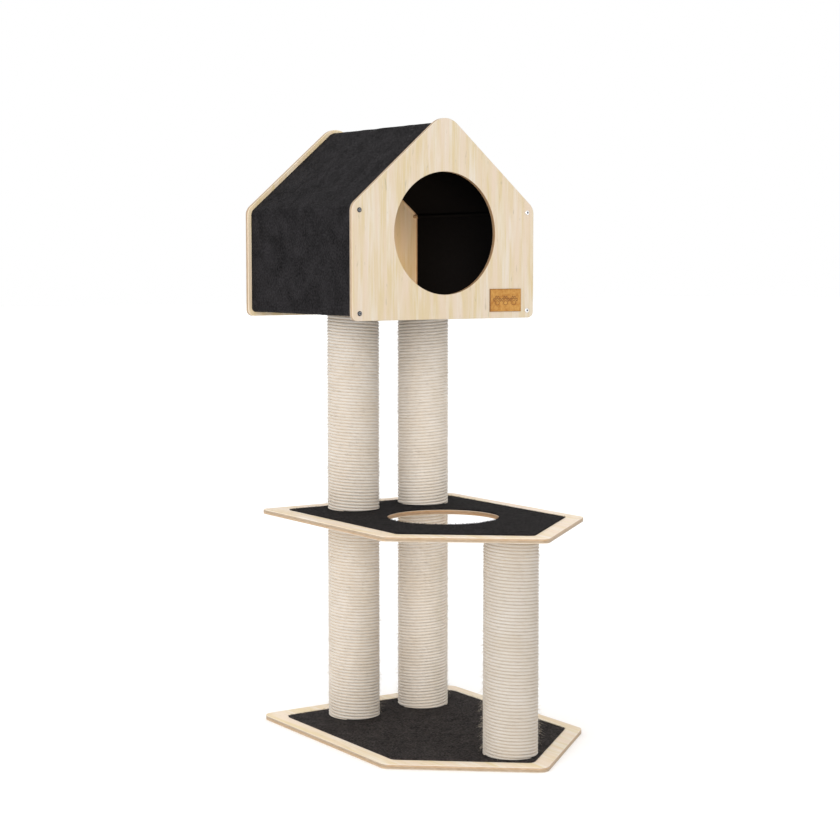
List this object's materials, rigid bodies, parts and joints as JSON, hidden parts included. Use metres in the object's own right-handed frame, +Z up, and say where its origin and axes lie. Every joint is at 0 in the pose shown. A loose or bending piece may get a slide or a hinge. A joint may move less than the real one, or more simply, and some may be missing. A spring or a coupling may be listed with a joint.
{
  "type": "cat tree",
  "caption": "Free-standing cat tree: a pointed base and a matching shelf with a round hole, rope-wound posts, and a gabled plush-covered house on top.",
  "frame": {"origin": "on the floor, on the centre plane, midway between the two rear posts", "axes": "+Z up, the house opens to -Y, +X to the right when looking along +Y"},
  "size_m": [0.45, 0.7087, 1.1564],
  "materials": {
    "plywood": "satin lacquered pale plywood with a fine straight grain and a layered edge",
    "carpet": "short black cut pile",
    "plush": "black brushed plush",
    "lining": "matt black lining cloth",
    "rope": "cream twisted rope, wound turn on turn, slightly fuzzy",
    "card_tube": "matt brown fibre tube",
    "plug_wood": "sawn wood",
    "shell_board": "thin bent plywood",
    "bolt_steel": "blackened steel",
    "insert_steel": "zinc-plated steel",
    "rod_steel": "black coat with pale ends",
    "screw_steel": "bright nickel plate",
    "patch_leather": "tan leather with darker burnished edges"
  },
  "bodies": {
    "root": {"base_board": "plywood", "base_carpet": "carpet", "base_bolts": "bolt_steel", "shelf_board": "plywood", "shelf_carpet": "carpet", "shelf_bolt": "bolt_steel", "shelf_studs": "bolt_steel", "front_post_tube": "card_tube", "front_post_rope": "rope", "front_post_bottom_plug": "plug_wood", "front_post_top_plug": "plug_wood", "left_lower_post_tube": "card_tube", "left_lower_post_rope": "rope", "left_lower_post_bottom_plug": "plug_wood", "left_lower_post_top_plug": "plug_wood", "right_lower_post_tube": "card_tube", "right_lower_post_rope": "rope", "right_lower_post_bottom_plug": "plug_wood", "right_lower_post_top_plug": "plug_wood", "left_upper_post_tube": "card_tube", "left_upper_post_rope": "rope", "left_upper_post_bottom_plug": "plug_wood", "left_upper_post_top_plug": "plug_wood", "right_upper_post_tube": "card_tube", "right_upper_post_rope": "rope", "right_upper_post_bottom_plug": "plug_wood", "right_upper_post_top_plug": "plug_wood", "post_inserts": "insert_steel", "house_bolts": "bolt_steel", "house_floor": "plywood", "floor_inserts": "insert_steel", "house_mat": "carpet", "house_shell": "shell_board", "house_cover": "plush", "house_lining": "lining", "house_front_panel": "plywood", "house_back_panel": "plywood", "left_tie_rod": "rod_steel", "right_tie_rod": "rod_steel", "front_panel_screws": "screw_steel", "back_panel_screws": "screw_steel", "label_patch": "patch_leather"}
  },
  "joints": []
}
